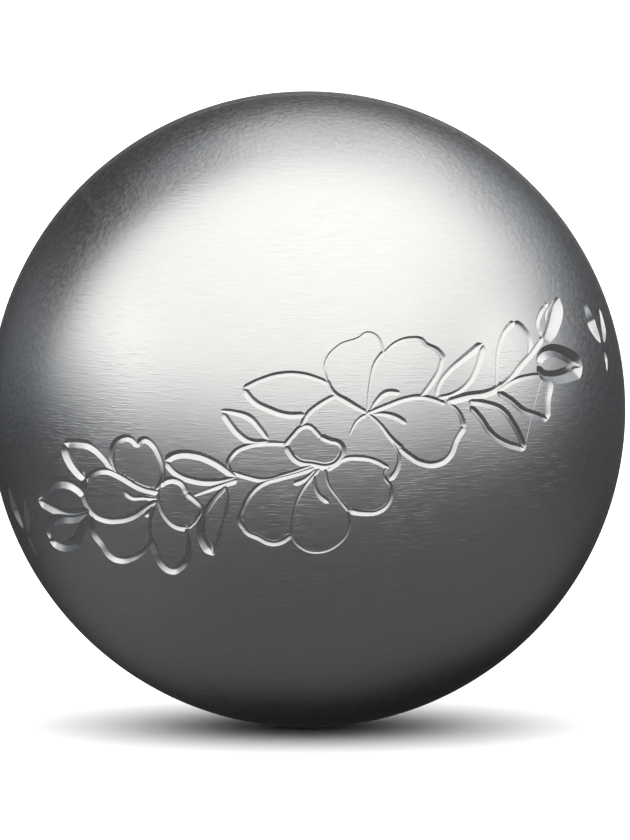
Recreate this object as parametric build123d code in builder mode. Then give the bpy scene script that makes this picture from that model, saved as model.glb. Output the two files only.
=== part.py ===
"""Petanque boule: two stamped steel half shells, butt-welded on one plane, with an engraved garland."""
import os
from math import cos, radians, sin, sqrt

from build123d import *

# Ball, in millimetres. The centre is the origin, +Z is up and -Y is the front.
BALL_DIAMETER = 74.0
WALL = 6.15
BALL_RADIUS = BALL_DIAMETER / 2
CAVITY_RADIUS = BALL_RADIUS - WALL

# Butt weld on the plane y = 0: a vee between the bevelled rims, ground flush outside
ROOT_GAP = 1.2
ROOT_LAND = 1.2
BEVEL_ANGLE = 30.0
ROOT_BEAD_WIDTH = 3.2
ROOT_BEAD_HEIGHT = 0.6

# Engraved lines
LINE_WIDTH = 0.75
LINE_DEPTH = 0.3
STEM_WIDTH = 0.9
STAMEN_WIDTH = 0.7
SPRIG_LEAF_WIDTH = 2.8
SPRIG_SIDE_WIDTH = 1.7
SPRIG_STALK_WIDTH = 0.9

# The garland is drawn as (x, z), seen from the front, on a grid of hundredths of the ball's radius.
GRID = BALL_RADIUS / 100

# Leaf: base, tip, sag of its left edge, sag of its right edge.
LEAVES = [
    ((-58.6, -13.5), (-76.5, -5.1), 4.1, 4.1),
    ((-69.2, -25.5), (-84.1, -24.6), 3.8, 3.8),
    ((-70.0, -29.2), (-78.9, -36.8), 3.5, 3.5),
    ((-21.4, -14.3), (-44.9, -7.6), 3.0, 3.5),
    ((-25.1, -17.0), (-30.3, -38.4), 2.4, 3.5),
    ((-11.1, -1.9), (-27.0, 7.8), 2.7, 3.0),
    ((7.0, 8.1), (-20.0, 15.4), 4.3, 6.0),
    ((40.5, 11.4), (55.1, 27.3), 3.2, 3.2),
    ((50.3, 10.3), (68.1, -5.7), 3.5, 3.8),
    ((59.2, 13.5), (65.4, 33.8), 4.3, 4.6),
    ((59.2, 13.0), (75.4, 2.4), 5.1, 3.2),
    ((72.4, 19.7), (85.9, 17.0), 4.1, 4.1),
    ((72.7, 27.8), (79.2, 38.6), 3.8, 3.8),
]

# Stem: base, tip, bow of its middle to the left.
STEMS = [
    ((38.9, 10.3), (73.8, 28.6), -6.5),
    ((-20.5, -14.1), (-37.8, -20.5), 1.6),
]

# Blossom: eye, its petals from back to front, its stamens.
# Petal: direction, length, half of its spread, depth of its notch as a share of its length.
# Stamen: direction, start, end, bow of its middle to the left.
BLOSSOMS = [
    (
        (-46.5, -20.5),
        [
            (282, 23.8, 23, 0),
            (232, 23.8, 30, 0.06),
            (178, 23.0, 24, 0),
            (111, 20.5, 30, 0.1),
            (5, 12.2, 50, 0.25),
        ],
        [(167, 1.1, 11.4, -0.8), (236, 0.8, 6.5, 0.5)],
    ),
    (
        (18.1, 7.8),
        [
            (275, 24.3, 34, 0),
            (195, 20.5, 38, 0),
            (105, 22.7, 31, 0.06),
            (49, 27.6, 25, 0.06),
            (343, 29.5, 30, 0.05),
        ],
        [(33, 0.8, 11.4, 1.4), (346, 3.2, 12.4, 1.1), (231, 0.5, 8.1, -0.8)],
    ),
    (
        (4.1, -9.3),
        [
            (177, 27.8, 17, 0),
            (222, 28.6, 26, 0.06),
            (272, 26.8, 27, 0),
            (344, 22.7, 32, 0.08),
            (97, 12.2, 50, 0.2),
        ],
        [(210, 0.8, 9.7, -0.8), (290, 2.7, 11.9, -1.1)],
    ),
]

# A petal is widest at this share of its length, and its lobes stand at this share of its spread.
PETAL_WAIST = 0.7
PETAL_LOBE = 0.55

# Small sprigs beside the garland: angle from the front, turn from +X towards +Z, then base, tip, bow, width.
SPRIG_ANGLE = 72.0
SPRIG_TURNS = [17.0, 199.0]
SPRIG_CUTS = [
    ((-0.6, -4.3), (-4.3, 9.7), 1.4, SPRIG_LEAF_WIDTH),
    ((2.6, -4.6), (8.6, 6.5), -1.1, SPRIG_SIDE_WIDTH),
    ((0.9, -6.2), (0.5, -13.4), 0.8, SPRIG_STALK_WIDTH),
]


def polar(origin, angle, distance):
    """Point of the drawing at an angle in degrees and a distance from the origin given."""
    return (origin[0] + distance * cos(radians(angle)), origin[1] + distance * sin(radians(angle)))


def drawn(point):
    """Point of the drawing in millimetres."""
    return Vector(*point) * GRID


def petal(eye, direction, length, spread, notch):
    """Petal with straight sides from the eye and a rounded or notched end."""
    root = drawn(eye)
    left = drawn(polar(eye, direction + spread, PETAL_WAIST * length))
    right = drawn(polar(eye, direction - spread, PETAL_WAIST * length))
    left_lobe = drawn(polar(eye, direction + PETAL_LOBE * spread, length))
    right_lobe = drawn(polar(eye, direction - PETAL_LOBE * spread, length))
    end = drawn(polar(eye, direction, (1 - notch) * length))
    with BuildSketch() as outline:
        with BuildLine():
            Line(root, left)
            if notch:
                ThreePointArc(left, left_lobe, end)
                ThreePointArc(end, right_lobe, right)
            else:
                ThreePointArc(left, end, right)
            Line(right, root)
        make_face()
    return outline.sketch


def pointed_shape(base, tip, left_sag, right_sag):
    """Shape between two arcs that meet at its base and its tip, with sags in millimetres."""
    start = drawn(base)
    end = drawn(tip)
    middle = (start + end) * 0.5
    leftward = (end - start).normalized().rotate(Axis.Z, 90)
    with BuildSketch() as outline:
        with BuildLine():
            ThreePointArc(start, middle + leftward * left_sag, end)
            ThreePointArc(end, middle - leftward * right_sag, start)
        make_face()
    return outline.sketch


def leaf(base, tip, left_sag, right_sag):
    """Pointed leaf, with sags in grid steps."""
    return pointed_shape(base, tip, left_sag * GRID, right_sag * GRID)


def stroke(base, tip, bow, width):
    """Solid tapered cut that is widest in its middle."""
    return pointed_shape(base, tip, width / 2 + bow * GRID, width / 2 - bow * GRID)


def stamen(eye, direction, start, end, bow):
    """Tapered cut that points away from the eye of a blossom."""
    return stroke(polar(eye, direction, start), polar(eye, direction, end), bow, STAMEN_WIDTH)


def line_band(outline):
    """Outer and inner edge of the engraved line that follows an outline."""
    return offset(outline, amount=LINE_WIDTH / 2), offset(outline, amount=-LINE_WIDTH / 2)


def sprig_plane(turn):
    """Plane that touches the ball beside the garland, with its z pointing outwards."""
    sideways = sin(radians(SPRIG_ANGLE))
    outward = Vector(
        sideways * cos(radians(turn)),
        -cos(radians(SPRIG_ANGLE)),
        sideways * sin(radians(turn)),
    )
    return Plane(origin=outward * BALL_RADIUS, x_dir=Vector(0, 0, 1).cross(outward), z_dir=outward)


# Half section of the weld in the plane of x and y, where x is the distance from the Y axis
half_gap = ROOT_GAP / 2
gap_x = sqrt(CAVITY_RADIUS**2 - half_gap**2)
land_x = CAVITY_RADIUS + ROOT_LAND
bevel_x = cos(radians(BEVEL_ANGLE))
bevel_y = sin(radians(BEVEL_ANGLE))
land_along_bevel = land_x * bevel_x + half_gap * bevel_y
bevel_length = sqrt(land_along_bevel**2 - land_x**2 - half_gap**2 + BALL_RADIUS**2) - land_along_bevel
cap_x = land_x + bevel_length * bevel_x
cap_y = half_gap + bevel_length * bevel_y
bead_y = ROOT_BEAD_WIDTH / 2
bead_x = sqrt(CAVITY_RADIUS**2 - bead_y**2)
flank_y = (half_gap + bead_y) / 2
flank_x = sqrt(CAVITY_RADIUS**2 - flank_y**2)

# Each leaf or petal hides what lies behind it and leaves a line along its own edge
stems = [stroke(base, tip, bow, STEM_WIDTH) for base, tip, bow in STEMS]
bands = [line_band(leaf(*values)) for values in LEAVES]
stamens = []
for eye, petals, threads in BLOSSOMS:
    bands += [line_band(petal(eye, *values)) for values in petals]
    stamens += [stamen(eye, *values) for values in threads]

with BuildSketch(Plane.XZ.offset(BALL_RADIUS)) as garland:
    for cut in stems:
        add(cut)
    for outer, inner in bands:
        add(outer)
        add(inner, mode=Mode.SUBTRACT)
    for cut in stamens:
        add(cut)

sprig_cuts = [stroke(*values) for values in SPRIG_CUTS]
with BuildSketch(*[sprig_plane(turn) for turn in SPRIG_TURNS]) as sprigs:
    for cut in sprig_cuts:
        add(cut)

# Columns over the lines, cut off by the spherical floor of the engraving
with BuildPart() as engraving:
    extrude(garland.sketch, amount=BALL_RADIUS, both=True)
    extrude(sprigs.sketch, amount=BALL_RADIUS / 2, both=True)
    Sphere(BALL_RADIUS - LINE_DEPTH, mode=Mode.SUBTRACT)

# Front half: its rim is bevelled for the weld, with a flat land beside the root gap
with BuildPart() as front_half_shell:
    Sphere(BALL_RADIUS)
    Sphere(CAVITY_RADIUS, mode=Mode.SUBTRACT)
    split(bisect_by=Plane.XZ, keep=Keep.TOP)
    with BuildSketch(Plane.XY):
        with BuildLine():
            Polyline(
                (CAVITY_RADIUS - ROOT_LAND, half_gap),
                (land_x, half_gap),
                (land_x + 2 * bevel_length * bevel_x, half_gap + 2 * bevel_length * bevel_y),
                (land_x + 2 * bevel_length * bevel_x, -half_gap - 2 * bevel_length * bevel_y),
                (land_x, -half_gap),
                (CAVITY_RADIUS - ROOT_LAND, -half_gap),
                close=True,
            )
        make_face()
    revolve(axis=Axis.Y, mode=Mode.SUBTRACT)
    add(engraving.part, mode=Mode.SUBTRACT)
front_half_shell.part.label = "front_half_shell"

# Rear half: the same stamping, turned half a turn about the upright axis
with BuildPart() as rear_half_shell:
    add(front_half_shell.part, rotation=(0, 0, 180))
rear_half_shell.part.label = "rear_half_shell"

# Weld: fills the vee up to the ball's surface and bulges a little into the cavity
with BuildPart() as weld_seam:
    with BuildSketch(Plane.XY):
        with BuildLine():
            ThreePointArc((cap_x, -cap_y), (BALL_RADIUS, 0), (cap_x, cap_y))
            Polyline((cap_x, cap_y), (land_x, half_gap), (gap_x, half_gap))
            ThreePointArc((gap_x, half_gap), (flank_x, flank_y), (bead_x, bead_y))
            ThreePointArc((bead_x, bead_y), (CAVITY_RADIUS - ROOT_BEAD_HEIGHT, 0), (bead_x, -bead_y))
            ThreePointArc((bead_x, -bead_y), (flank_x, -flank_y), (gap_x, -half_gap))
            Polyline((gap_x, -half_gap), (land_x, -half_gap), (cap_x, -cap_y))
        make_face()
    revolve(axis=Axis.Y)
weld_seam.part.label = "weld_seam"

os.makedirs("parts", exist_ok=True)
export_step(front_half_shell.part, "parts/front_half_shell.step")
export_step(rear_half_shell.part, "parts/rear_half_shell.step")
export_step(weld_seam.part, "parts/weld_seam.step")
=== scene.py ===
"""Looks of the petanque boule: two satin steel half shells, their engraved garland and their ground weld."""
import logging
import math
from dataclasses import dataclass
from enum import Enum
from typing import NamedTuple

import bpy
from mathutils import Matrix, Vector


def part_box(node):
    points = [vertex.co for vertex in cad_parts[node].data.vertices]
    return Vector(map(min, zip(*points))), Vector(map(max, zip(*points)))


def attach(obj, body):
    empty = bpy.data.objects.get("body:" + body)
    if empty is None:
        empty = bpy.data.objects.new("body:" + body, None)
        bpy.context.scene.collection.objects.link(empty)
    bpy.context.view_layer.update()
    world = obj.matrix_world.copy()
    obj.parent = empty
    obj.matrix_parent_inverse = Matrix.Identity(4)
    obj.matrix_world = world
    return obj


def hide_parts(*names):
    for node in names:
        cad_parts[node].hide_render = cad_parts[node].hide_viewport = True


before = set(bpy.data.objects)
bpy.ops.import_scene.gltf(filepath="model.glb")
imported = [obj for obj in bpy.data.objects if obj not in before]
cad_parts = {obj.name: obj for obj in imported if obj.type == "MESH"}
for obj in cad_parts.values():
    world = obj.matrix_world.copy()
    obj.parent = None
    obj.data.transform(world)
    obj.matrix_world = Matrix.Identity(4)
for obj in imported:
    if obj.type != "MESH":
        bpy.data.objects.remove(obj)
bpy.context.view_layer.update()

logging.basicConfig(level=logging.INFO, format="%(message)s")
LOG = logging.getLogger("boule")

MM = 0.001

# Ball, in metres. The weld ring is ground flush, so its widest place gives the ball's radius.
BALL_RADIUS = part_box("weld_seam")[1].x
WALL = 6.15 * MM
CAVITY_RADIUS = BALL_RADIUS - WALL

# A corner that lies no further than this from the ball or the cavity counts as being on it
SURFACE_NEAR = 0.02 * MM

# Weld section, as the half shells are bevelled for it
ROOT_GAP = 1.2 * MM
ROOT_LAND = 1.2 * MM
BEVEL_ANGLE = math.radians(30)
ROOT_BEAD_WIDTH = 3.2 * MM
ROOT_BEAD_HEIGHT = 0.6 * MM

# The drawing is seen from the front, on a grid of hundredths of the ball's radius.
GRID = BALL_RADIUS / 100

Place = tuple[float, float]
Tint = tuple[float, float, float, float]
Socket = bpy.types.NodeSocket


class Fade(NamedTuple):
    """Smooth step of a value: where it starts and ends, and its results there."""

    low: float | Socket
    high: float | Socket
    start: float = 0.0
    end: float = 1.0


class Cut(Enum):
    """Width of an engraved line at its start, middle and end, in millimetres."""

    HAIR = (0.10, 0.09, 0.08)
    FINE = (0.42, 0.34, 0.40)
    THIN = (0.46, 0.48, 0.46)
    LINE = (0.66, 0.74, 0.66)
    FIRM = (0.88, 0.94, 0.84)
    BROAD = (1.06, 1.12, 0.92)
    HEAVY = (1.50, 1.40, 1.00)
    DEEP = (1.20, 1.50, 1.20)
    POINT = (1.20, 1.80, 2.40)
    STALK = (0.60, 0.90, 0.40)
    SIDE = (0.60, 1.70, 0.50)
    DISH = (0.90, 2.80, 0.70)
    BOWL = (1.20, 2.80, 1.90)
    OPENING = (0.42, 0.60, 0.90)
    WIDENING = (0.60, 0.80, 1.06)
    SPREADING = (0.55, 0.85, 1.50)
    CLOSING = (0.92, 0.76, 0.36)
    TRAILING = (1.10, 1.05, 0.42)
    SWELLING = (0.55, 0.95, 0.62)
    BUDDING = (0.26, 0.92, 0.70)
    FADING = (0.62, 0.42, 0.26)


class Graver(Enum):
    """Depth of a graver's vee in a cut of half width 1."""

    FLAT = 0.58
    STEEP = 0.78


@dataclass(frozen=True)
class Stroke:
    """One pass of a graver through a few places of the drawing."""

    cut: Cut
    places: tuple[Place, ...]
    graver: Graver = Graver.FLAT


LEAF_STROKES = (
    # Large leaf over the middle of the garland
    Stroke(Cut.LINE, ((-20, 15), (-14.5, 17.7), (-8, 19.5), (-2, 19.5), (3.5, 18), (7, 16.5))),
    Stroke(Cut.FIRM, ((-20, 15), (-16.5, 11), (-11.5, 8.5), (-6.5, 7), (-0.5, 7))),
    # Small leaf under it
    Stroke(Cut.SWELLING, ((-27, 8), (-22.5, 7.5), (-18, 6), (-15, 3), (-12, -1))),
    Stroke(Cut.FIRM, ((-26.5, 7.5), (-24, 4), (-21.5, 1), (-17.5, -1.5), (-11.5, -1.5))),
    # Two leaves and the stem between the left and the middle blossom
    Stroke(Cut.BROAD, ((-44.3, -8.4), (-41.5, -6.5), (-36, -6), (-29.5, -8), (-22, -13))),
    Stroke(Cut.FIRM, ((-44.3, -8.4), (-41, -12), (-36, -14), (-29.5, -14.5), (-22, -13))),
    Stroke(Cut.CLOSING, ((-21.5, -13.5), (-27, -15.5), (-35.5, -19))),
    Stroke(
        Cut.SPREADING, ((-25, -15.5), (-29.5, -20.5), (-32.5, -26), (-33, -31.5), (-29.5, -38)), Graver.STEEP
    ),
    Stroke(Cut.THIN, ((-25.2, -15.6), (-24.9, -22), (-26.5, -28.5), (-29.5, -38))),
    # Three leaves at the left end
    Stroke(Cut.BROAD, ((-76, -5), (-71.5, -4.5), (-68, -5), (-64, -8), (-60.5, -12.5))),
    Stroke(Cut.HEAVY, ((-76, -5), (-75, -9), (-72.5, -13), (-69, -16))),
    Stroke(Cut.DEEP, ((-84, -24), (-81, -19.5), (-76.5, -17.5), (-72, -19), (-69.5, -21.5))),
    Stroke(Cut.DEEP, ((-84, -24.5), (-80.5, -26), (-76, -27.5), (-71.5, -27), (-68, -25.5))),
    Stroke(Cut.DEEP, ((-68, -26.5), (-73, -28.5), (-78, -29.5), (-81, -33), (-80.5, -36.5))),
    Stroke(Cut.DEEP, ((-68, -27), (-70, -31), (-72, -36), (-76, -38.5), (-80.5, -37.5)), Graver.STEEP),
    # Stem at the right end
    Stroke(Cut.BROAD, ((43, 10), (49.5, 11.5), (57, 12.5), (61.5, 15))),
    Stroke(Cut.FIRM, ((59, 13), (63, 16), (66.5, 20), (70, 23.5), (73.5, 28))),
    # Leaves along that stem, from the blossom outwards
    Stroke(Cut.WIDENING, ((40, 12), (41, 15.5), (44, 19.5), (49, 23.5), (54.5, 27.5))),
    Stroke(Cut.WIDENING, ((40.5, 11.5), (45.5, 12.5), (50, 15.5), (52.5, 19.5), (55, 27))),
    Stroke(Cut.FIRM, ((50, 10), (55.5, 9), (61, 6.5), (64, 2.5), (68, -6))),
    Stroke(Cut.FIRM, ((50.5, 8.5), (54, 4.5), (57, 0), (61.5, -3.5), (68, -6))),
    Stroke(Cut.OPENING, ((59, 13.5), (59, 20), (59.5, 25.5), (61.5, 30.5), (64.5, 33.5))),
    Stroke(Cut.FIRM, ((64.5, 33.5), (67, 31.5), (69.3, 27.5), (69, 23))),
    Stroke(Cut.LINE, ((59, 12.5), (64.5, 15.5), (69.5, 16.5), (73.5, 16.5))),
    Stroke(Cut.FIRM, ((59, 12.5), (63.5, 9.5), (67.5, 6), (71, 4.5), (75, 2.5))),
    Stroke(Cut.BROAD, ((73.5, 16.5), (75.5, 14.5), (75, 8.5), (75, 2.5))),
    Stroke(Cut.POINT, ((71.5, 20), (73.5, 22.8), (76, 23.6), (79.5, 22.6), (83, 20.3), (86, 17.5))),
    Stroke(Cut.POINT, ((71.5, 19.5), (73.5, 16.6), (76, 15.7), (79.5, 15.6), (83, 16.4), (86, 17.5))),
    Stroke(Cut.BOWL, ((73.8, 26.5), (76, 30), (77.6, 34.5), (78.6, 39.3))),
    Stroke(Cut.FINE, ((73.4, 28), (75.2, 31), (74.4, 34), (76.4, 38))),
    Stroke(Cut.LINE, ((73, 28.5), (71.8, 31.5), (72.6, 35), (75, 38))),
    # A slip of the tool beside the last leaves
    Stroke(Cut.HAIR, ((73, 15), (70.5, 6.5), (68, -4))),
)

RIGHT_BLOSSOM_STROKES = (
    Stroke(Cut.FINE, ((6.5, 16), (5.5, 22.5), (9.5, 28), (16, 30.5), (18.5, 32), (21.5, 31), (24, 25.5))),
    Stroke(Cut.SWELLING, ((6, 18), (8, 14), (12.5, 11), (18.5, 7.5))),
    Stroke(Cut.FADING, ((24, 26.5), (21, 22.5), (19.5, 16.5), (18.5, 7.5))),
    Stroke(Cut.OPENING, ((23.5, 25.5), (28, 29), (33, 30), (35.5, 29.5), (37, 28), (40.5, 26), (43, 22.5))),
    Stroke(Cut.LINE, ((42, 24), (41, 20), (38.5, 16), (35, 11.5))),
    Stroke(Cut.LINE, ((18, 7), (24.5, 9.5), (30.5, 11.5), (35, 12), (39.5, 11), (43, 9.5))),
    Stroke(Cut.OPENING, ((43, 10.5), (47, 7), (49, 1.5))),
    Stroke(Cut.FIRM, ((49.2, 2.6), (46.5, -1.5), (44, -7), (40.5, -9), (35.5, -8.5), (31.5, -6), (28, -3))),
    Stroke(Cut.OPENING, ((18, 8), (22.5, 4), (26, -0.5), (30, -4.5))),
    Stroke(Cut.OPENING, ((26.5, -1), (28.5, -6), (28, -10), (25.5, -14))),
    Stroke(Cut.LINE, ((9.2, 13.2), (3.5, 10), (0, 7), (-2, 3))),
    # Stamens
    Stroke(Cut.BUDDING, ((19.5, 8), (21.5, 11), (24.5, 13.5), (29, 13.5))),
    Stroke(Cut.BUDDING, ((20, 7), (24, 7), (27.5, 6), (31, 3.8))),
    Stroke(Cut.FADING, ((18.5, 7), (15.5, 5), (13, 0.5))),
)

MIDDLE_BLOSSOM_STROKES = (
    Stroke(Cut.LINE, ((-7.5, -3), (-4.5, 0.5), (-2, 3), (0.5, 3.5), (2.5, 2), (4.5, -0.5))),
    Stroke(
        Cut.FIRM,
        ((3.5, 0.5), (7, -1), (10, -2), (11, -4), (10, -7), (7, -9), (1.5, -8.5), (-3, -7.5), (-7, -2.5)),
    ),
    Stroke(Cut.LINE, ((6, -10.5), (11, -7), (16, -6.5), (21, -7.5), (25.5, -10))),
    Stroke(
        Cut.OPENING,
        ((24.5, -9.5), (24, -12.5), (26, -16), (25.5, -20.5), (22.5, -23.5), (17.5, -24), (12.5, -23)),
    ),
    Stroke(Cut.THIN, ((5.5, -9.5), (6.5, -14.5), (9.5, -19), (13.5, -24))),
    Stroke(Cut.FINE, ((12.8, -22.8), (13, -28.5), (9.5, -34), (2.5, -36.5), (-2.5, -34.5), (-5.3, -30.5))),
    Stroke(Cut.THIN, ((-5, -31.5), (-4.5, -25), (-2, -17.5), (4, -9.5))),
    Stroke(
        Cut.LINE,
        ((2.5, -9.5), (-3.5, -11.5), (-9, -13), (-13.5, -14.5))
        + ((-17.5, -18), (-20, -23), (-21, -26.5), (-19, -30)),
    ),
    Stroke(Cut.LINE, ((-21, -26), (-19, -30), (-15, -32), (-12, -33.5), (-9, -33.5), (-4.6, -30.8))),
    Stroke(Cut.LINE, ((-22.6, -12.4), (-24.6, -9.4), (-22.8, -5.2), (-19, -3), (-13.5, -2), (-6.5, -2))),
    Stroke(Cut.LINE, ((-24, -11), (-19, -12.5), (-13.5, -13.5), (-7.5, -12), (2, -8.8))),
    # Stamens
    Stroke(Cut.OPENING, ((2.5, -10), (-0.5, -13), (-4.5, -14.8))),
    Stroke(Cut.OPENING, ((2, -11.5), (3, -17), (6.8, -20.8))),
)

LEFT_BLOSSOM_STROKES = (
    Stroke(Cut.FIRM, ((-52.5, -4.5), (-55, -2), (-57.5, -2), (-60, -4), (-61, -8), (-60.5, -11), (-59, -14))),
    Stroke(
        Cut.FIRM,
        ((-53.5, -4.5), (-51, -2), (-48.5, -3), (-46.5, -6), (-45, -11.5), (-45.5, -14.5), (-47.5, -18)),
    ),
    Stroke(
        Cut.FIRM,
        ((-69.5, -16.5), (-66.5, -13.5), (-63, -12.5), (-59.5, -13.5), (-51.5, -17.5), (-46, -18.5)),
    ),
    Stroke(
        Cut.FIRM,
        ((-69, -15), (-70, -20), (-69, -23.5), (-67, -26.5), (-64, -28))
        + ((-59, -28), (-54.5, -26.5), (-51, -24), (-46.5, -21)),
    ),
    Stroke(
        Cut.TRAILING,
        ((-67, -27.5), (-66.5, -33), (-64, -36.5), (-61.5, -40))
        + ((-58.5, -41), (-54.5, -40), (-51.5, -38), (-48.5, -34.5)),
        Graver.STEEP,
    ),
    Stroke(Cut.THIN, ((-48.5, -35), (-49, -29), (-48, -24), (-46.5, -20.5))),
    Stroke(
        Cut.TRAILING,
        ((-48.8, -33), (-47, -38), (-45, -42), (-42.5, -43.5))
        + ((-39.5, -42), (-37.5, -39.5), (-37, -34), (-38, -29)),
        Graver.STEEP,
    ),
    Stroke(Cut.OPENING, ((-46, -15.5), (-46.5, -18.5), (-46, -22.5), (-44, -26.5), (-41, -29), (-37, -29.5))),
    Stroke(Cut.FIRM, ((-46.5, -16.5), (-43.5, -14.5), (-40.5, -14.5), (-38.5, -16), (-37.5, -19))),
    Stroke(Cut.CLOSING, ((-38.2, -18), (-35, -20.5), (-33, -23), (-34.5, -26.5), (-37, -29.5))),
    # Stamens
    Stroke(Cut.CLOSING, ((-57.5, -18.5), (-55, -20.5), (-51.5, -20.5), (-46.5, -20.5))),
    Stroke(Cut.CLOSING, ((-50.5, -26.5), (-47.8, -22))),
)


@dataclass(frozen=True)
class PetalFace:
    """Matt face of a petal or leaf, whose darker finish is partly painted shade: a place inside it, and its
    lean down from its upper edge in degrees.
    """

    place: Place
    lean: float


PETAL_FACES = (
    # Middle blossom
    PetalFace((2, -3), 3.0),
    PetalFace((-15, -7), 1.2),
    PetalFace((-10, -22), 0.8),
    PetalFace((15, -14), 1.0),
    PetalFace((4, -27), 0.3),
    # Left blossom
    PetalFace((-53, -10), 2.0),
    PetalFace((-60, -20), 1.2),
    PetalFace((-41, -21), 1.2),
    # Leaves
    PetalFace((-69, -10), 1.5),
    PetalFace((-35, -10), 1.5),
    PetalFace((-29, -27), 0.5),
)

# Small sprigs beside the garland: angle from the front, and turns from +X towards +Z
SPRIG_ANGLE = math.radians(72)
SPRIG_TURNS = (math.radians(17), math.radians(199))
SPRIG_STROKES = (
    Stroke(Cut.DISH, ((-0.6, -4.3), (-3.8, 2.3), (-4.3, 9.7))),
    Stroke(Cut.SIDE, ((2.6, -4.6), (6.5, 0.4), (8.6, 6.5))),
    Stroke(Cut.STALK, ((0.9, -6.2), (1.5, -9.8), (0.5, -13.4))),
)


def on_front(place: Place) -> Vector:
    """Point of the ball's front behind a place of the drawing."""
    x, z = place[0] * GRID, place[1] * GRID
    return Vector((x, -math.sqrt(BALL_RADIUS**2 - x * x - z * z), z))


def in_scene(name: str, data: bpy.types.ID) -> bpy.types.Object:
    """New object of the given data in the scene."""
    item = bpy.data.objects.new(name, data)
    bpy.context.scene.collection.objects.link(item)
    return item


@dataclass
class Nodes:
    """Short hand for adding and joining the nodes of one tree."""

    tree: bpy.types.NodeTree

    def add(self, kind: str, values: dict | None = None, **settings: object) -> bpy.types.Node:
        """Adds a node, sets its options and fills its inputs.

        Args:
            kind: The node's type name.
            values: Inputs by name or number, each a value or the socket that feeds it.
            **settings: The node's own options.

        Returns:
            The new node.
        """
        node = self.tree.nodes.new(kind)
        for name, value in settings.items():
            setattr(node, name, value)
        for name, value in (values or {}).items():
            if isinstance(value, Socket):
                self.tree.links.new(value, node.inputs[name])
            else:
                node.inputs[name].default_value = value
        return node

    def out(self, kind: str, values: dict | None = None, **settings: object) -> Socket:
        """First output of a new node, which is made as add makes it."""
        return self.add(kind, values, **settings).outputs[0]

    def sockets(self, in_out: str, kind: str, *labels: str) -> None:
        """Gives the tree inputs or outputs of one kind."""
        for label in labels:
            self.tree.interface.new_socket(label, in_out=in_out, socket_type=kind)

    def math(self, operation: str, *values: object) -> Socket:
        """Result of a math node on one to three values or sockets."""
        return self.out("ShaderNodeMath", dict(enumerate(values)), operation=operation)

    def times(self, first: object, *others: object) -> Socket:
        """Product of two or more values or sockets."""
        for other in others:
            first = self.math("MULTIPLY", first, other)
        return first

    def vector(self, operation: str, *values: object) -> Socket:
        """Vector that a vector math node makes of one or two vectors or sockets."""
        return self.out("ShaderNodeVectorMath", dict(enumerate(values)), operation=operation)

    def along(self, way: Socket, axis: Vector) -> Socket:
        """Share of a direction along an axis, from -1 to 1."""
        return self.add("ShaderNodeVectorMath", {0: way, 1: axis}, operation="DOT_PRODUCT").outputs["Value"]

    def mix(self, share: object, first: object, second: object) -> Socket:
        """Colour between two colours or sockets, by a share from 0 to 1."""
        node = self.add("ShaderNodeMix", {0: share, 6: first, 7: second}, data_type="RGBA")
        return node.outputs[2]

    def ramp(self, value: Socket, fade: Fade) -> Socket:
        """Smooth step of a value, as a fade gives it."""
        inputs = dict(enumerate((value, *fade)))
        return self.out("ShaderNodeMapRange", inputs, interpolation_type="SMOOTHSTEP")


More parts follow.
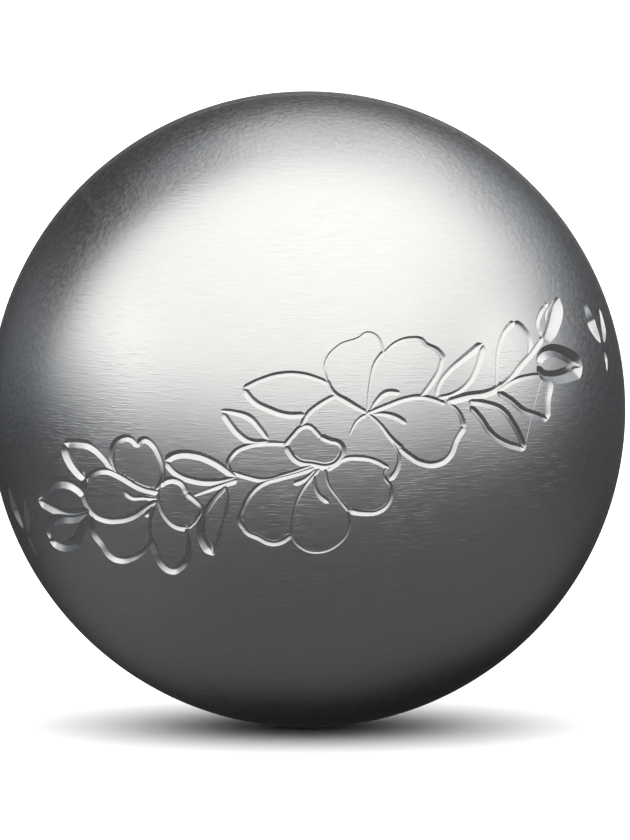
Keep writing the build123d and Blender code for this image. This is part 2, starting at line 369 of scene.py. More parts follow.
@dataclass(frozen=True)
class GrainGroup:
    """Shader group of what turning, grinding and use leave on the steel, on Object coordinates in metres.

    Turned lines run round the upright axis. Beside the weld a ground belt takes over, whose marks run round
    with the weld. Scales are marks in a metre, or in a radian of the belt.
    """

    name: str = "steel_grain"
    line_scale: tuple[float, float, float] = (400.0, 400.0, 5000.0)
    line_detail: float = 3.0
    streak_scale: tuple[float, float, float] = (480.0, 480.0, 6000.0)
    streak_detail: float = 1.0
    streak_fade: Fade = Fade(0.56, 0.70)
    streak_tone: float = 0.3
    patch_scale: tuple[float, float, float] = (110.0, 110.0, 110.0)
    patch_detail: float = 2.0
    patch_fade: Fade = Fade(0.35, 0.65, 0.4, 1.0)
    belt_turn: float = 60.0
    belt_across: float = 1400.0
    belt_detail: float = 2.0
    belt_fade: Fade = Fade(0.42 * BALL_RADIUS, 0.64 * BALL_RADIUS, 1.0, 0.0)
    dent_scale: float = 240.0
    dent_fade: Fade = Fade(0.02, 0.06, 1.0, 0.0)
    dent_chance: Fade = Fade(0.78, 0.80)
    middle: float = 0.5

    def noise(self, nodes: Nodes, place: Socket, scale: tuple[float, float, float], detail: float) -> Socket:
        """Noise over places that are drawn out by a scale for each axis.

        Args:
            nodes: The group's nodes.
            place: The socket of the place.
            scale: Marks in a metre along each axis.
            detail: Finer layers of the noise.

        Returns:
            The socket of the noise.
        """
        spread = nodes.vector("MULTIPLY", place, scale)
        return nodes.out("ShaderNodeTexNoise", {"Vector": spread, "Scale": 1.0, "Detail": detail})

    def build(self) -> bpy.types.NodeTree:
        """Makes the group once.

        Returns:
            A group with the heights Lines, Streaks, Ground and Pits in micrometres as inputs, and the outputs
            Height, in micrometres, and Tone.
        """
        tree = bpy.data.node_groups.new(self.name, "ShaderNodeTree")
        nodes = Nodes(tree)
        nodes.sockets("INPUT", "NodeSocketFloat", "Lines", "Streaks", "Ground", "Pits")
        nodes.sockets("OUTPUT", "NodeSocketFloat", "Height", "Tone")
        given = nodes.add("NodeGroupInput").outputs
        place = nodes.add("ShaderNodeTexCoord").outputs["Object"]

        # Turned lines, with a few bright streaks, fainter in some patches
        lines = self.noise(nodes, place, self.line_scale, self.line_detail)
        streaks = self.noise(nodes, place, self.streak_scale, self.streak_detail)
        streaks = nodes.ramp(streaks, self.streak_fade)
        worked = self.noise(nodes, place, self.patch_scale, self.patch_detail)
        worked = nodes.ramp(worked, self.patch_fade)

        # Marks of the ground belt beside the weld
        round_weld = nodes.vector("NORMALIZE", nodes.vector("MULTIPLY", place, (1, 0, 1)))
        turn = nodes.vector("MULTIPLY", round_weld, (self.belt_turn, 0, self.belt_turn))
        across = nodes.vector("MULTIPLY", place, (0, self.belt_across, 0))
        marks = self.noise(nodes, nodes.vector("ADD", turn, across), (1, 1, 1), self.belt_detail)
        from_weld = nodes.math("ABSOLUTE", nodes.add("ShaderNodeSeparateXYZ", {0: place}).outputs["Y"])
        belt = nodes.ramp(from_weld, self.belt_fade)
        turned = nodes.times(nodes.math("SUBTRACT", 1.0, belt), worked)

        # A few small dents from use
        cells = nodes.add("ShaderNodeTexVoronoi", {"Vector": place, "Scale": self.dent_scale}).outputs
        chance = nodes.out("ShaderNodeSeparateColor", {"Color": cells["Color"]})
        dent = nodes.ramp(cells["Distance"], self.dent_fade)
        dents = nodes.times(dent, nodes.ramp(chance, self.dent_chance))

        fine = nodes.math("MULTIPLY_ADD", lines, given["Lines"], nodes.times(streaks, given["Streaks"]))
        ground = nodes.times(marks, belt, given["Ground"])
        surface = nodes.math("MULTIPLY_ADD", fine, turned, ground)
        height = nodes.math("SUBTRACT", surface, nodes.times(dents, given["Pits"]))
        uneven = nodes.math("SUBTRACT", lines, self.middle)
        light_lines = nodes.math("MULTIPLY_ADD", streaks, self.streak_tone, uneven)
        light_marks = nodes.times(nodes.math("SUBTRACT", marks, self.middle), belt)
        tone = nodes.math("ADD", self.middle, nodes.math("MULTIPLY_ADD", light_lines, turned, light_marks))
        nodes.add("NodeGroupOutput", {"Height": height, "Tone": tone})
        return tree


@dataclass(frozen=True)
class SteelFinish:
    """One finish of the steel: its colour, its gloss, and the heights of its grain in micrometres."""

    name: str
    colour: tuple[float, float, float]
    roughness: float
    roughness_spread: float
    shade_spread: float
    lines: float
    streaks: float
    ground: float
    pits: float
    micrometre: float = 1.0e-6
    low_tone: float = 0.2
    high_tone: float = 0.8

    def spread(self, middle: float, reach: float) -> Fade:
        """Fade over the grain's tone to either side of a middle value."""
        return Fade(self.low_tone, self.high_tone, middle - reach, middle + reach)

    def build(self, grain: bpy.types.NodeTree) -> bpy.types.Material:
        """Makes the material.

        Args:
            grain: The shared group of surface marks.

        Returns:
            The finished material.
        """
        material = bpy.data.materials.new(self.name)
        material.use_nodes = True
        material.node_tree.nodes.clear()
        nodes = Nodes(material.node_tree)
        heights = {"Lines": self.lines, "Streaks": self.streaks, "Ground": self.ground, "Pits": self.pits}
        marks = nodes.add("ShaderNodeGroup", heights, node_tree=grain).outputs
        roughness = nodes.ramp(marks["Tone"], self.spread(self.roughness, self.roughness_spread))
        shade = nodes.ramp(marks["Tone"], self.spread(1.0, self.shade_spread))
        tint = nodes.out("ShaderNodeVectorMath", {0: self.colour, "Scale": shade}, operation="SCALE")
        bump = nodes.out("ShaderNodeBump", {"Height": marks["Height"], "Distance": self.micrometre})
        looks = {"Base Color": tint, "Metallic": 1.0, "Roughness": roughness, "Normal": bump}
        shader = nodes.out("ShaderNodeBsdfPrincipled", looks)
        nodes.add("ShaderNodeOutputMaterial", {"Surface": shader})
        return material


SATIN_STEEL = SteelFinish(
    "satin_steel", (0.78, 0.78, 0.78), roughness=0.31, roughness_spread=0.03, shade_spread=0.05,
    lines=19.0, streaks=8.0, ground=44.0, pits=20.0,
)
CUT_STEEL = SteelFinish(
    "bright_cut_steel", (0.74, 0.74, 0.74), roughness=0.25, roughness_spread=0.03, shade_spread=0.03,
    lines=2.0, streaks=0.0, ground=2.0, pits=0.0,
)
# Matt petal finish. Its colour is darker than the satin's partly for the matting and partly as painted shade,
# standing in for the shade that a steeper lean of the petal faces would give.
MATT_SHADED_PETAL_STEEL = SteelFinish(
    "matt_petal_steel", (0.68, 0.685, 0.692), roughness=0.36, roughness_spread=0.03, shade_spread=0.12,
    lines=23.0, streaks=9.0, ground=45.0, pits=0.0,
)
WELD_STEEL = SteelFinish(
    "ground_weld_steel", (0.76, 0.765, 0.77), roughness=0.36, roughness_spread=0.04, shade_spread=0.06,
    lines=0.0, streaks=0.0, ground=44.0, pits=20.0,
)


@dataclass
class EngravingTree:
    """Geometry tree that runs a graver along strokes on the ball and cuts its section out of a shell."""

    name: str = "engraving"
    step: float = 0.2 * MM
    taper: float = 1.4
    finest_tool: float = 0.02 * MM
    crease: float = math.radians(32)
    half_mark: float = 0.5
    rim_reach: float = 0.25

    def build(self) -> bpy.types.NodeTree:
        """Makes the tree.

        Returns:
            A tree whose inputs are the shell, the strokes, the sizes of the cut and the two finishes.
        """
        tree = bpy.data.node_groups.new(self.name, "GeometryNodeTree")
        nodes = Nodes(tree)
        nodes.sockets("INPUT", "NodeSocketGeometry", "Shell")
        nodes.sockets("INPUT", "NodeSocketObject", "Strokes", "Graver")
        nodes.sockets("INPUT", "NodeSocketFloat", "Step", "Taper", "Finest Tool", "Crease")
        nodes.sockets("INPUT", "NodeSocketMaterial", "Shell Finish", "Cut Finish")
        nodes.sockets("OUTPUT", "NodeSocketGeometry", "Engraved Shell")
        given = nodes.add("NodeGroupInput").outputs

        # The graver runs out to a point at both ends of a stroke
        strokes = nodes.add("GeometryNodeObjectInfo", {"Object": given["Strokes"]}).outputs["Geometry"]
        graver = nodes.add("GeometryNodeObjectInfo", {"Object": given["Graver"]}).outputs["Geometry"]
        steps = {"Curve": strokes, "Length": given["Step"]}
        path = nodes.out("GeometryNodeResampleCurve", steps, mode="LENGTH")
        radius = nodes.out("GeometryNodeInputRadius")
        run = nodes.add("GeometryNodeSplineParameter").outputs["Length"]
        whole = nodes.add("GeometryNodeSplineLength").outputs["Length"]
        from_end = nodes.math("MINIMUM", run, nodes.math("SUBTRACT", whole, run))
        slope = nodes.times(radius, given["Taper"])
        share = nodes.math("MINIMUM", nodes.math("DIVIDE", from_end, slope), 1.0)
        ease = nodes.times(share, nodes.math("SUBTRACT", 2.0, share))
        tool = nodes.math("MAXIMUM", nodes.times(radius, ease), given["Finest Tool"])
        path = nodes.out("GeometryNodeSetCurveRadius", {"Curve": path, "Radius": tool})

        # It stands upright on the ball all along
        outward = nodes.vector("NORMALIZE", nodes.out("GeometryNodeInputPosition"))
        path = nodes.out("GeometryNodeSetCurveNormal", {"Curve": path, "Normal": outward}, mode="FREE")
        sweep = {"Curve": path, "Profile Curve": graver, "Scale": radius, "Fill Caps": True}
        swept = nodes.out("GeometryNodeCurveToMesh", sweep)
        mark = {"Geometry": swept, "Name": "cut", "Value": 1.0}
        swept = nodes.out("GeometryNodeStoreNamedAttribute", mark, data_type="FLOAT", domain="FACE")
        island = nodes.add("GeometryNodeInputMeshIsland").outputs["Island Index"]
        apart = {"Geometry": swept, "Group ID": island}
        tools = nodes.out("GeometryNodeSplitToInstances", apart, domain="FACE")
        meshes = {"Mesh 1": given["Shell"], "Mesh 2": tools}
        carved = nodes.out("GeometryNodeMeshBoolean", meshes, operation="DIFFERENCE", solver="MANIFOLD")

        # Creases stay sharp, and so do rims, where the mark is between 0 and 1. Cuts get their own finish.
        cut = nodes.out("GeometryNodeInputNamedAttribute", {"Name": "cut"}, data_type="FLOAT")
        angle = nodes.add("GeometryNodeInputMeshEdgeAngle").outputs["Unsigned Angle"]
        creased = nodes.math("GREATER_THAN", angle, given["Crease"])
        rim = nodes.math("COMPARE", cut, self.half_mark, self.rim_reach)
        edges = nodes.math("MAXIMUM", creased, rim)
        sharp = {"Mesh": carved, "Edge Sharpness": edges, "Face Sharpness": False}
        carved = nodes.out("GeometryNodeSetMeshNormal", sharp)
        carved = nodes.out("GeometryNodeRealizeInstances", {"Geometry": carved})
        satin = {"Geometry": carved, "Material": given["Shell Finish"]}
        dressed = nodes.out("GeometryNodeSetMaterial", satin)
        lines = nodes.math("GREATER_THAN", cut, self.half_mark)
        bright = {"Geometry": dressed, "Selection": lines, "Material": given["Cut Finish"]}
        dressed = nodes.out("GeometryNodeSetMaterial", bright)
        nodes.add("NodeGroupOutput", {"Engraved Shell": dressed})
        return tree

    def run(
        self,
        shell: bpy.types.Object,
        strokes: bpy.types.Object,
        graver: bpy.types.Object,
        shell_finish: bpy.types.Material,
        cut_finish: bpy.types.Material,
    ) -> None:
        """Cuts the strokes out of a shell and leaves it as a plain mesh.

        Args:
            shell: The closed shell that is engraved.
            strokes: The curve object whose splines the tool follows.
            graver: The curve object of the tool's section.
            shell_finish: Finish of the untouched surface.
            cut_finish: Finish of the engraved lines.
        """
        tree = self.build()
        values = {"Strokes": strokes, "Graver": graver, "Step": self.step, "Taper": self.taper}
        values |= {"Finest Tool": self.finest_tool, "Crease": self.crease}
        values |= {"Shell Finish": shell_finish, "Cut Finish": cut_finish}
        modifier = shell.modifiers.new(self.name, "NODES")
        modifier.node_group = tree
        for item in tree.interface.items_tree:
            if item.in_out == "INPUT" and item.name in values:
                modifier[item.identifier] = values[item.name]
        shell.update_tag()
        depsgraph = bpy.context.evaluated_depsgraph_get()
        engraved = bpy.data.meshes.new_from_object(shell.evaluated_get(depsgraph), depsgraph=depsgraph)
        shell.modifiers.remove(modifier)
        plain = shell.data
        shell.data = engraved
        engraved.name = plain.name
        bpy.data.meshes.remove(plain)


@dataclass
class Garland:
    """Engraved flowers and leaves on the front of a half shell, with a small sprig at each end.

    A graver's section is given for a cut of half width 1: a vee with a slightly rounded bottom, which lies a
    little towards the upper side of a line.
    """

    name: str = "garland_strokes"
    vee_bottom: float = 0.10
    vee_round: float = 0.15
    section_steps: int = 12
    section_height: float = 0.9
    section_flare: float = 1.25
    guide_steps: int = 24

    def on_side(self, place: Place, turn: float) -> Vector:
        """Point of the ball at a place of a sprig.

        Args:
            place: Place on the plane that touches the ball at the sprig.
            turn: Where the sprig stands round the front, from +X towards +Z.

        Returns:
            The point on the ball's surface.
        """
        sideways = math.sin(SPRIG_ANGLE)
        outward = Vector((sideways * math.cos(turn), -math.cos(SPRIG_ANGLE), sideways * math.sin(turn)))
        right = Vector((0, 0, 1)).cross(outward).normalized()
        point = outward * BALL_RADIUS + right * place[0] * GRID + outward.cross(right) * place[1] * GRID
        return point.normalized() * BALL_RADIUS

    def half_width(self, cut: Cut, share: float) -> float:
        """Half width of a cut at a share of its stroke's length."""
        start, middle, end = cut.value
        if share < 0.5:
            width = start + (middle - start) * 2 * share
        else:
            width = middle + (end - middle) * (2 * share - 1)
        return width * MM / 2

    def section(self, graver: Graver) -> bpy.types.Object:
        """Makes the closed section of a graver.

        Args:
            graver: The graver.

        Returns:
            The curve object, with its first axis outwards and its second to the lower side of a line.
        """
        curve = bpy.data.curves.new("graver_section", "CURVE")
        spline = curve.splines.new("POLY")
        edge = [(self.section_flare, self.section_height), (-self.section_flare, self.section_height)]
        rim = math.hypot(1, self.vee_round) - self.vee_round
        for step in range(self.section_steps + 1):
            run = 2 * step / self.section_steps - 1
            share = run * abs(run)
            across = self.vee_bottom + share * (1 - math.copysign(self.vee_bottom, share))
            rise = math.hypot(share, self.vee_round) - self.vee_round
            edge.append((across, graver.value * (rise / rim - 1)))
        spline.points.add(len(edge) - 1)
        for point, (across, height) in zip(spline.points, edge):
            point.co = (height, -across, 0, 1)
        spline.use_cyclic_u = True
        return in_scene("graver_section", curve)

    def add_stroke(self, curve: bpy.types.Curve, cut: Cut, points: list[Vector]) -> None:
        """Adds a smooth spline through the points from left to right, with the half width at each.

        Args:
            curve: The curve that the spline goes into.
            cut: The width of the line.
            points: Points on the ball.
        """
        spline = curve.splines.new("BEZIER")
        spline.bezier_points.add(len(points) - 1)
        runs = [(b - a).length for a, b in zip(points, points[1:])]
        widths = [self.half_width(cut, sum(runs[:number]) / sum(runs)) for number in range(len(points))]
        order = 1 if points[0].x < points[-1].x else -1
        for knot, point, width in zip(spline.bezier_points, points[::order], widths[::order]):
            knot.co = point
            knot.handle_left_type = "AUTO"
            knot.handle_right_type = "AUTO"
            knot.radius = width

    def build(self, graver: Graver) -> bpy.types.Object:
        """Makes the curve object of a graver's strokes.

        Args:
            graver: The graver that cuts them.

        Returns:
            The curve object, which is only a guide for the tool.
        """
        curve = bpy.data.curves.new(self.name, "CURVE")
        curve.dimensions = "3D"
        curve.resolution_u = self.guide_steps
        for stroke in LEAF_STROKES + RIGHT_BLOSSOM_STROKES + MIDDLE_BLOSSOM_STROKES + LEFT_BLOSSOM_STROKES:
            if stroke.graver is graver:
                self.add_stroke(curve, stroke.cut, [on_front(place) for place in stroke.places])
        for stroke in SPRIG_STROKES:
            if stroke.graver is graver:
                for turn in SPRIG_TURNS:
                    self.add_stroke(curve, stroke.cut, [self.on_side(place, turn) for place in stroke.places])
        return in_scene(self.name, curve)


@dataclass
class WeldSection:
    """Half section of the weld, as distances from the Y axis and along it."""

    half_gap: float = ROOT_GAP / 2
    land_x: float = CAVITY_RADIUS + ROOT_LAND
    bead_y: float = ROOT_BEAD_WIDTH / 2

    def __post_init__(self) -> None:
        """Works out where the bevel meets the ball and the root meets the cavity."""
        along_x, along_y = math.cos(BEVEL_ANGLE), math.sin(BEVEL_ANGLE)
        toward = self.land_x * along_x + self.half_gap * along_y
        start = self.land_x**2 + self.half_gap**2
        length = math.sqrt(toward**2 - start + BALL_RADIUS**2) - toward
        self.cap_x = self.land_x + length * along_x
        self.cap_y = self.half_gap + length * along_y
        self.gap_x = math.sqrt(CAVITY_RADIUS**2 - self.half_gap**2)
        self.bead_x = math.sqrt(CAVITY_RADIUS**2 - self.bead_y**2)


def ball_normals(
    mesh: bpy.types.Mesh, cut_slot: int | None = None, leaning: dict[int, float] | None = None
) -> None:
    """Gives faces on the ball's surface the ball's own normals, so that no facet shows in the reflections.

    Args:
        mesh: The mesh of a piece.
        cut_slot: Material slot of engraved faces, which keep their own normals.
        leaning: Slope of each petal face, by its number.
    """
    slopes = leaning or {}
    normals = [Vector(corner.vector) for corner in mesh.corner_normals]
    for polygon in mesh.polygons:
        if polygon.material_index == cut_slot:
            continue
        corners = [mesh.vertices[mesh.loops[loop].vertex_index].co for loop in polygon.loop_indices]
        slope = slopes.get(polygon.index)
        for loop, corner in zip(polygon.loop_indices, corners):
            outward = corner.normalized()
            if slope is not None:
                upward = Vector((0, 0, 1)) - outward * outward.z
                normals[loop] = (outward - upward * slope).normalized()
            elif all(abs(point.length - BALL_RADIUS) < SURFACE_NEAR for point in corners):
                normals[loop] = outward
            elif all(abs(point.length - CAVITY_RADIUS) < SURFACE_NEAR for point in corners):
                normals[loop] = -outward
    mesh.normals_split_custom_set(normals)


@dataclass
class PetalFaces:
    """Faces of petals and leaves on an engraved shell, which the lines of the engraving bound."""

    mesh: bpy.types.Mesh
    cut_slot: int
    widest: float = 16 * MM

    def __post_init__(self) -> None:
        """Notes which faces of the plain outer surface lie beside each edge."""
        self.beside: dict[tuple[int, int], list[int]] = {}
        for polygon in self.mesh.polygons:
            if polygon.material_index != self.cut_slot and polygon.center.length > BALL_RADIUS - WALL / 2:
                for edge in polygon.edge_keys:
                    self.beside.setdefault(edge, []).append(polygon.index)
        self.surface = {number for numbers in self.beside.values() for number in numbers}

    def point(self, corner: int) -> Vector:
        """Place of a corner of the mesh."""
        return self.mesh.vertices[corner].co

    def region(self, middle: Vector) -> set[int]:
        """Plain faces that join up with the one at a point, as far as the lines round them."""
        polygons = self.mesh.polygons
        seed = min(self.surface, key=lambda number: (polygons[number].center - middle).length_squared)
        found, waiting = {seed}, [seed]
        while waiting:
            for edge in polygons[waiting.pop()].edge_keys:
                fresh = set(self.beside[edge]) - found
                found |= fresh
                waiting += fresh
        return found

    def sink(self) -> dict[int, float]:
        """Sinks the faces that lean down from their upper edges.

        Returns:
            The slope of each petal face, by its number.
        """
        leaning, depths = {}, {}
        for face in PETAL_FACES:
            middle = on_front(face.place)
            region = self.region(middle)
            corners = {corner for number in region for corner in self.mesh.polygons[number].vertices}
            reach = max((self.point(corner) - middle).length for corner in corners)
            if reach > self.widest:
                LOG.warning("the face at %s is not closed", face.place)
                continue
            slope = math.tan(math.radians(face.lean))
            top = max(self.point(corner).z for corner in corners)
            for corner in corners:
                depths[corner] = slope * (top - self.point(corner).z)
            leaning.update(dict.fromkeys(region, slope))
            deepest = max(depths[corner] for corner in corners)
            sizes = (len(region), reach / MM, deepest / MM)
            LOG.info("face at %s: %d facets, reach %.1f mm, depth %.2f mm", face.place, *sizes)
        for corner, depth in depths.items():
            self.mesh.vertices[corner].co -= self.point(corner).normalized() * depth
        self.mesh.update()
        return leaning


def dressed_piece(name: str, mesh: bpy.types.Mesh) -> bpy.types.Object:
    """Puts a mesh into the scene in place of the solid of the same name.

    Args:
        name: The solid's name.
        mesh: The finished mesh.

    Returns:
        The new piece.
    """
    piece = in_scene(name + "_dressed", mesh)
    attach(piece, "root")
    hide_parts(name)
    return piece


@dataclass
class HalfShells:
    """The two stamped half shells, with bevelled rims and the same engraving on both."""

    section: WeldSection
    squares: int = 104

    def grid_directions(self, widest: float) -> list[Vector]:
        """Directions of a square grid that is drawn out to a round cap about the front.

        Args:
            widest: Angle from the front to the rim.

        Returns:
            The directions, row by row.
        """
        directions = []
        for row in range(self.squares + 1):
            for column in range(self.squares + 1):
                across = 2 * column / self.squares - 1
                up = 2 * row / self.squares - 1
                reach = max(abs(across), abs(up))
                if reach == 0:
                    turn = 0.0
                elif abs(across) >= abs(up):
                    turn = math.pi / 4 * up / across + (math.pi if across < 0 else 0.0)
                else:
                    turn = math.pi / 2 - math.pi / 4 * across / up + (math.pi if up < 0 else 0.0)
                tilt = reach * widest
                aside = math.sin(tilt)
                directions.append(
                    Vector((aside * math.cos(turn), -math.cos(tilt), aside * math.sin(turn)))
                )
        return directions

    def rim_numbers(self) -> list[int]:
        """Numbers of the grid points along the rim, from the lower left corner towards +X."""
        last = self.squares
        side = last + 1
        bottom = list(range(last))
        right = [row * side + last for row in range(last)]
        top = [last * side + column for column in range(last, 0, -1)]
        left = [row * side for row in range(last, 0, -1)]
        return bottom + right + top + left

    def plain_mesh(self, name: str) -> bpy.types.Mesh:
        """Closed front shell before it is engraved.

        Args:
            name: Name of the mesh.

        Returns:
            The mesh, with all faces pointing outwards.
        """
        section = self.section
        outer = [d * BALL_RADIUS for d in self.grid_directions(math.acos(section.cap_y / BALL_RADIUS))]
        inner = [d * CAVITY_RADIUS for d in self.grid_directions(math.acos(section.half_gap / CAVITY_RADIUS))]
        rim = self.rim_numbers()
        land_scale = section.land_x / section.gap_x
        land = [Vector((inner[n].x * land_scale, inner[n].y, inner[n].z * land_scale)) for n in rim]
        points = outer + inner + land
        side = self.squares + 1
        inner_start, land_start = len(outer), len(outer) + len(inner)
        faces = []
        for row in range(self.squares):
            for column in range(self.squares):
                a = row * side + column
                square = (a, a + 1, a + side + 1, a + side)
                faces.append(square)
                faces.append(tuple(inner_start + n for n in reversed(square)))
        for number, corner in enumerate(rim):
            following = (number + 1) % len(rim)
            beside = rim[following]
            here, there = land_start + number, land_start + following
            faces.append((beside, corner, here, there))
            faces.append((there, here, inner_start + corner, inner_start + beside))
        mesh = bpy.data.meshes.new(name)
        mesh.from_pydata(points, [], faces)
        mesh.update()
        return mesh

    def build(
        self, satin: bpy.types.Material, bright: bpy.types.Material, matt_shaded: bpy.types.Material
    ) -> list[bpy.types.Object]:
        """Makes the engraved front half, and the rear half by half a turn about the upright axis.

        Args:
            satin: Finish of the surface.
            bright: Finish of the engraved lines.
            matt_shaded: Finish of the petal faces: matt, with a darker colour that is partly painted shade.

        Returns:
            The two pieces.
        """
        front = in_scene("front_blank", self.plain_mesh("front_half_shell"))
        garland = Garland()
        for graver in Graver:
            strokes = garland.build(graver)
            section = garland.section(graver)
            EngravingTree().run(front, strokes, section, satin, bright)
            bpy.data.objects.remove(strokes)
            bpy.data.objects.remove(section)
        mesh = front.data
        bpy.data.objects.remove(front)
        cut_slot = list(mesh.materials).index(bright)
        slopes = PetalFaces(mesh, cut_slot).sink()
        # Petal faces take the matt finish, whose darker colour is partly painted shade
        mesh.materials.append(matt_shaded)
        for number in slopes:
            mesh.polygons[number].material_index = len(mesh.materials) - 1
        ball_normals(mesh, cut_slot, slopes)
        rear = mesh.copy()
        rear.name = "rear_half_shell"
        rear.transform(Matrix.Rotation(math.pi, 4, "Z"))
        return [
            dressed_piece("front_half_shell", mesh),
            dressed_piece("rear_half_shell", rear),
        ]


@dataclass
class WeldSeam:
    """Weld ring between the half shells, ground flush outside and left round at the root."""

    section: WeldSection
    turns: int
    cap_steps: int = 10
    bead_steps: int = 8

    def outline(self) -> list[Place]:
        """Closed section of the ring, as distances from the Y axis and along it."""
        section = self.section
        reach = math.asin(section.cap_y / BALL_RADIUS)
        tilts = [reach * (2 * step / self.cap_steps - 1) for step in range(self.cap_steps + 1)]
        cap = [(BALL_RADIUS * math.cos(tilt), BALL_RADIUS * math.sin(tilt)) for tilt in tilts]
        shares = [1 - 2 * step / self.bead_steps for step in range(self.bead_steps + 1)]
        bead = [
            (section.bead_x - ROOT_BEAD_HEIGHT * (1 - share**2), section.bead_y * share) for share in shares
        ]
        root = [(section.land_x, section.half_gap), (section.gap_x, section.half_gap)]
        return cap + root + bead + [(x, -y) for x, y in reversed(root)]

    def build(self, finish: bpy.types.Material) -> bpy.types.Object:
        """Turns the section about the Y axis, from the lower left, where the shells' rims start.

        Args:
            finish: Finish of the weld.

        Returns:
            The weld ring.
        """
        section = self.outline()
        points = []
        for turn in range(self.turns):
            angle = 2 * math.pi * turn / self.turns - 3 * math.pi / 4
            points += [Vector((x * math.cos(angle), y, x * math.sin(angle))) for x, y in section]
        count = len(section)
        faces = []
        for turn in range(self.turns):
            here, there = turn * count, (turn + 1) % self.turns * count
            for step in range(count):
                beside = (step + 1) % count
                faces.append((here + step, here + beside, there + beside, there + step))
        mesh = bpy.data.meshes.new("weld_seam")
        mesh.from_pydata(points, [], faces)
        mesh.materials.append(finish)
        mesh.update()
        ball_normals(mesh)
        return dressed_piece("weld_seam", mesh)


@dataclass(frozen=True)
class SoftBox:
    """Round light with a soft edge: where it stands as seen from the ball, its size and its strength.

    It stands by its turn to the right and its rise from the camera's own axis. The edge is the angle from
    its middle to where it is half lit, and soft is half the width of the fade there, all in degrees.
    """

    turn: float
    rise: float
    edge: float
    soft: float
    strength: float


class Way(NamedTuple):
    """Direction that the world shades, and its shares to the right and upwards."""

    whole: Socket
    across: Socket
    high: Socket


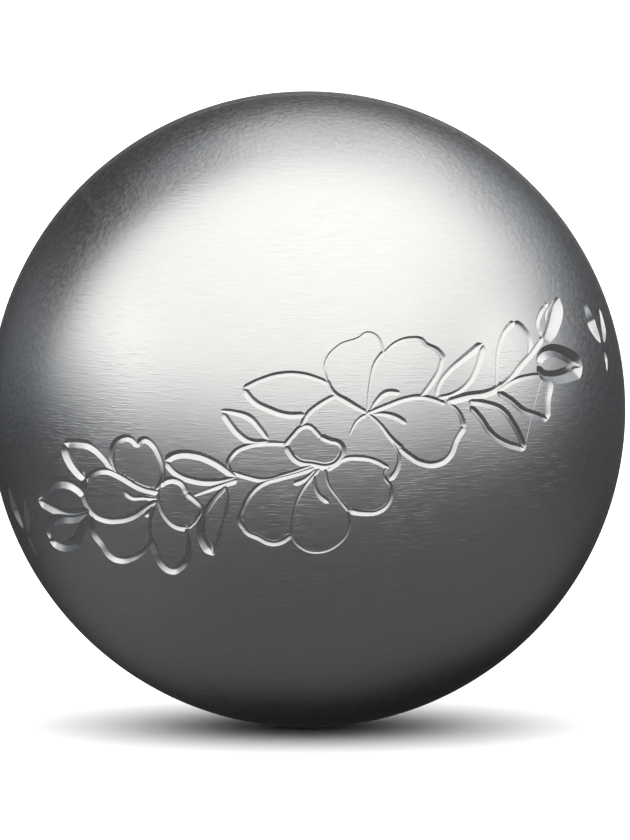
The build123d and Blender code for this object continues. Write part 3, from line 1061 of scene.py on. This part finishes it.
@dataclass
class Studio:
    """White table and backdrop, soft light from the front and above, and the camera.

    The picture's height, its centre and the ball's place in it are in pixels. The light comes from all round,
    and its fades run over a direction's share to the right, upwards or away from the camera. Turns and rises
    are in degrees from the camera's own axis.
    """

    frame_height: float = 840.0
    frame_centre: Place = (315.0, 420.0)
    ball_centre: Place = (307.3, 409.3)
    ball_reach: float = 318.2
    sensor: float = 36.0
    nearest: float = 0.01
    distance: float = 80 * BALL_RADIUS
    elevation: float = math.radians(5)

    # White table and backdrop
    floor_reach: float = 8.0
    floor_colour: Tint = (0.9, 0.9, 0.9, 1.0)
    floor_roughness: float = 0.9
    floor_strength: float = 1.8
    floor_light: Fade = Fade(0.25, 0.75, 0.42, 1.43)
    backdrop_strength: float = 1.1
    white: Tint = (1.0, 1.0, 1.0, 1.0)

    # Dome of light, which ends at the table and at the wall behind the ball
    key_strength: float = 1.33
    key_tint: Tint = (1.0, 0.99, 0.968, 1.0)
    key_fade: Fade = Fade(0.0, 1.0)
    dome_rise: Fade = Fade(-0.1, 1.5, 0.79, 1.0)
    dome_right: Fade = Fade(0.45, 0.95, 1.0, 0.85)
    table_middle: Place = (0.0, 65.0)
    table_edge: Fade = Fade(-0.20, 0.66)
    wall_middle: Place = (189.5, 19.0)
    wall_outside: Fade = Fade(-0.2, 0.6, 0.42, 0.16)
    wall_inside: Fade = Fade(-0.2, 0.6, 0.63, 0.84)
    side_boxes: tuple[SoftBox, ...] = (SoftBox(-87, -1, 26, 14, 0.67), SoftBox(84.5, 0, 18, 13, 1.32))
    wall_boxes: tuple[SoftBox, ...] = (
        SoftBox(-20, 114, 19, 13, 0.6),
        SoftBox(217, 59, 14, 9, 0.21),
        SoftBox(137, 41, 15, 11, 0.17),
    )

    # Dim wall, with a lighter strip at the left, and the dark below with the ball's own shadow at the back
    wall_strength: float = 0.052
    wall_tint: Tint = (0.91, 0.975, 1.06, 1.0)
    wall_sides: Fade = Fade(-0.6, 0.6, 0.35, 1.0)
    strip_strength: float = 0.12
    strip_side: Fade = Fade(-0.75, -0.3, 1.0, 0.0)
    strip_foot: Fade = Fade(-0.1, 0.2, 0.25, 1.0)
    strip_head: Fade = Fade(0.2, 0.5, 1.0, 0.0)
    horizon: Fade = Fade(-0.5, -0.1)
    below_strength: float = 0.087
    below_tint: Tint = (0.995, 1.0, 1.01, 1.0)
    below_left: Fade = Fade(-0.95, -0.3, 1.35, 1.0)
    shadow_middle: float = 0.1
    shadow_sides: Fade = Fade(0.15, 0.55, 1.0, 0.0)
    shadow_back: Fade = Fade(0.3, 0.8)
    shadow_top: Fade = Fade(-0.25, 0.0, 1.0, 0.0)
    shadow_depth: Fade = Fade(0.0, 1.0, 1.0, 0.03)

    def toward(self, turn: float, rise: float) -> Vector:
        """Direction from the ball by its turn to the right and its rise."""
        turn, rise = math.radians(turn), math.radians(rise)
        across = math.cos(rise) * math.sin(turn)
        high = math.sin(rise)
        near = math.cos(rise) * math.cos(turn)
        sine, cosine = math.sin(self.elevation), math.cos(self.elevation)
        return Vector((across, high * sine - near * cosine, high * cosine + near * sine))

    def camera(self) -> bpy.types.Object:
        """Puts up the camera at the photo's angle, with the ball as large and as far off centre as there.

        Returns:
            The camera.
        """
        lens = bpy.data.cameras.new("camera")
        lens.sensor_width = self.sensor
        sight = math.sqrt(self.distance**2 - BALL_RADIUS**2)
        lens.lens = self.ball_reach * sight / BALL_RADIUS * self.sensor / self.frame_height
        lens.shift_x = (self.frame_centre[0] - self.ball_centre[0]) / self.frame_height
        lens.shift_y = -(self.frame_centre[1] - self.ball_centre[1]) / self.frame_height
        lens.clip_start = self.nearest
        camera = in_scene("camera", lens)
        back = Vector((0, -math.cos(self.elevation), math.sin(self.elevation)))
        camera.location = back * self.distance
        camera.rotation_euler = (-back).to_track_quat("-Z", "Y").to_euler()
        bpy.context.scene.camera = camera
        return camera

    def floor(self) -> bpy.types.Object:
        """Lays the plain white table under the ball, which the steel doesn't mirror.

        Returns:
            The table.
        """
        reach = self.floor_reach
        corners = ((-reach, -reach), (reach, -reach), (reach, reach), (-reach, reach))
        mesh = bpy.data.meshes.new("table")
        mesh.from_pydata([(x, y, -BALL_RADIUS) for x, y in corners], [], [(0, 1, 2, 3)])
        paper = bpy.data.materials.new("white_paper")
        paper.use_nodes = True
        shader = paper.node_tree.nodes["Principled BSDF"]
        shader.inputs["Base Color"].default_value = self.floor_colour
        shader.inputs["Roughness"].default_value = self.floor_roughness
        shader.inputs["Specular IOR Level"].default_value = 0.0
        mesh.materials.append(paper)
        table = in_scene("table", mesh)
        table.visible_glossy = False
        return table

    def glow(self, nodes: Nodes, way: Socket, boxes: tuple[SoftBox, ...], base: object = 0.0) -> Socket:
        """Light of soft boxes on top of another light.

        Args:
            nodes: The world's nodes.
            way: The direction that is shaded.
            boxes: The boxes.
            base: Value or socket of the other light.

        Returns:
            The socket of both lights together.
        """
        for box in boxes:
            outside = math.cos(math.radians(box.edge + box.soft))
            inside = math.cos(math.radians(box.edge - box.soft))
            mask = nodes.ramp(nodes.along(way, self.toward(box.turn, box.rise)), Fade(outside, inside))
            base = nodes.math("MULTIPLY_ADD", mask, box.strength, base)
        return base

    def bright_part(self, nodes: Nodes, way: Way) -> Socket:
        """Dome and boxes, as far as the table and the wall leave them open.

        Args:
            nodes: The world's nodes.
            way: The direction that is shaded.

        Returns:
            The socket of the light.
        """
        outside = nodes.ramp(way.across, self.wall_outside)
        inside = nodes.ramp(way.across, self.wall_inside)
        wall = nodes.ramp(nodes.along(way.whole, self.toward(*self.wall_middle)), Fade(outside, inside))
        over_table = nodes.ramp(nodes.along(way.whole, self.toward(*self.table_middle)), self.table_edge)
        rise = nodes.ramp(way.high, self.dome_rise)
        dome = nodes.times(rise, self.key_strength, nodes.ramp(way.across, self.dome_right))
        front = self.glow(nodes, way.whole, self.side_boxes, dome)
        behind = nodes.times(self.glow(nodes, way.whole, self.wall_boxes), wall)
        open_part = nodes.times(over_table, nodes.math("SUBTRACT", 1.0, wall))
        return nodes.math("MULTIPLY_ADD", front, open_part, behind)

    def dark_part(self, nodes: Nodes, way: Way, upper: Socket) -> Socket:
        """Dim light of the wall and from below.

        Args:
            nodes: The world's nodes.
            way: The direction that is shaded.
            upper: Mask of the directions above the horizon.

        Returns:
            The socket of the light.
        """
        strip = nodes.times(
            nodes.ramp(way.across, self.strip_side),
            nodes.ramp(way.high, self.strip_foot),
            nodes.ramp(way.high, self.strip_head),
        )
        sides = nodes.times(nodes.ramp(way.across, self.wall_sides), self.wall_strength)
        sides = nodes.math("MULTIPLY_ADD", strip, self.strip_strength, sides)
        below = nodes.times(nodes.ramp(way.across, self.below_left), self.below_strength)
        lower = nodes.math("SUBTRACT", 1.0, upper)
        dark = nodes.math("MULTIPLY_ADD", lower, below, nodes.times(upper, sides))
        aside = nodes.math("ABSOLUTE", nodes.math("SUBTRACT", way.across, self.shadow_middle))
        shadow = nodes.times(
            nodes.ramp(nodes.along(way.whole, self.toward(180, 0)), self.shadow_back),
            nodes.ramp(way.high, self.shadow_top),
            nodes.ramp(aside, self.shadow_sides),
        )
        return nodes.times(dark, nodes.ramp(shadow, self.shadow_depth))

    def light(self) -> bpy.types.World:
        """Lights the scene all round, with its own light for each kind of ray.

        The steel mirrors the dome, the boxes and the dark parts. The table is lit from overhead, and the
        camera sees a white backdrop.

        Returns:
            The world that lights the scene.
        """
        world = bpy.data.worlds.new("studio")
        world.use_nodes = True
        world.node_tree.nodes.clear()
        nodes = Nodes(world.node_tree)
        seen = nodes.add("ShaderNodeTexCoord").outputs["Generated"]
        across, high = nodes.along(seen, self.toward(90, 0)), nodes.along(seen, self.toward(0, 90))
        way = Way(seen, across, high)
        upper = nodes.ramp(high, self.horizon)
        bright = self.bright_part(nodes, way)
        dark = self.dark_part(nodes, way, upper)
        dark_tint = nodes.mix(upper, self.below_tint, self.wall_tint)
        tint = nodes.mix(nodes.ramp(bright, self.key_fade), dark_tint, self.key_tint)

        rays = nodes.add("ShaderNodeLightPath").outputs
        zenith = nodes.add("ShaderNodeSeparateXYZ", {0: seen}).outputs["Z"]
        overhead = nodes.times(nodes.ramp(zenith, self.floor_light), self.floor_strength)
        table = nodes.times(rays["Is Diffuse Ray"], overhead)
        # The table gets no light by way of the steel
        first = nodes.math("LESS_THAN", rays["Diffuse Depth"], 0.5)
        mirrored = nodes.times(rays["Is Glossy Ray"], first, nodes.math("ADD", dark, bright))
        plain = nodes.math("MULTIPLY_ADD", rays["Is Camera Ray"], self.backdrop_strength, table)
        colour = nodes.mix(rays["Is Glossy Ray"], self.white, tint)
        strength = nodes.math("ADD", plain, mirrored)
        shade = nodes.out("ShaderNodeBackground", {"Color": colour, "Strength": strength})
        nodes.add("ShaderNodeOutputWorld", {"Surface": shade})
        bpy.context.scene.world = world
        bpy.context.scene.view_settings.view_transform = "Standard"
        return world


def main() -> None:
    """Builds the ball and its studio, and reports each piece."""
    grain = GrainGroup().build()
    satin = SATIN_STEEL.build(grain)
    bright = CUT_STEEL.build(grain)
    matt_shaded = MATT_SHADED_PETAL_STEEL.build(grain)
    weld = WELD_STEEL.build(grain)
    section = WeldSection()
    shells = HalfShells(section)
    pieces = shells.build(satin, bright, matt_shaded)
    pieces.append(WeldSeam(section, turns=4 * shells.squares).build(weld))
    studio = Studio()
    studio.camera()
    studio.floor()
    studio.light()
    for piece in pieces:
        piece.data.calc_loop_triangles()
        LOG.info("%s: %d triangles", piece.name, len(piece.data.loop_triangles))


if __name__ == "__main__":
    main()
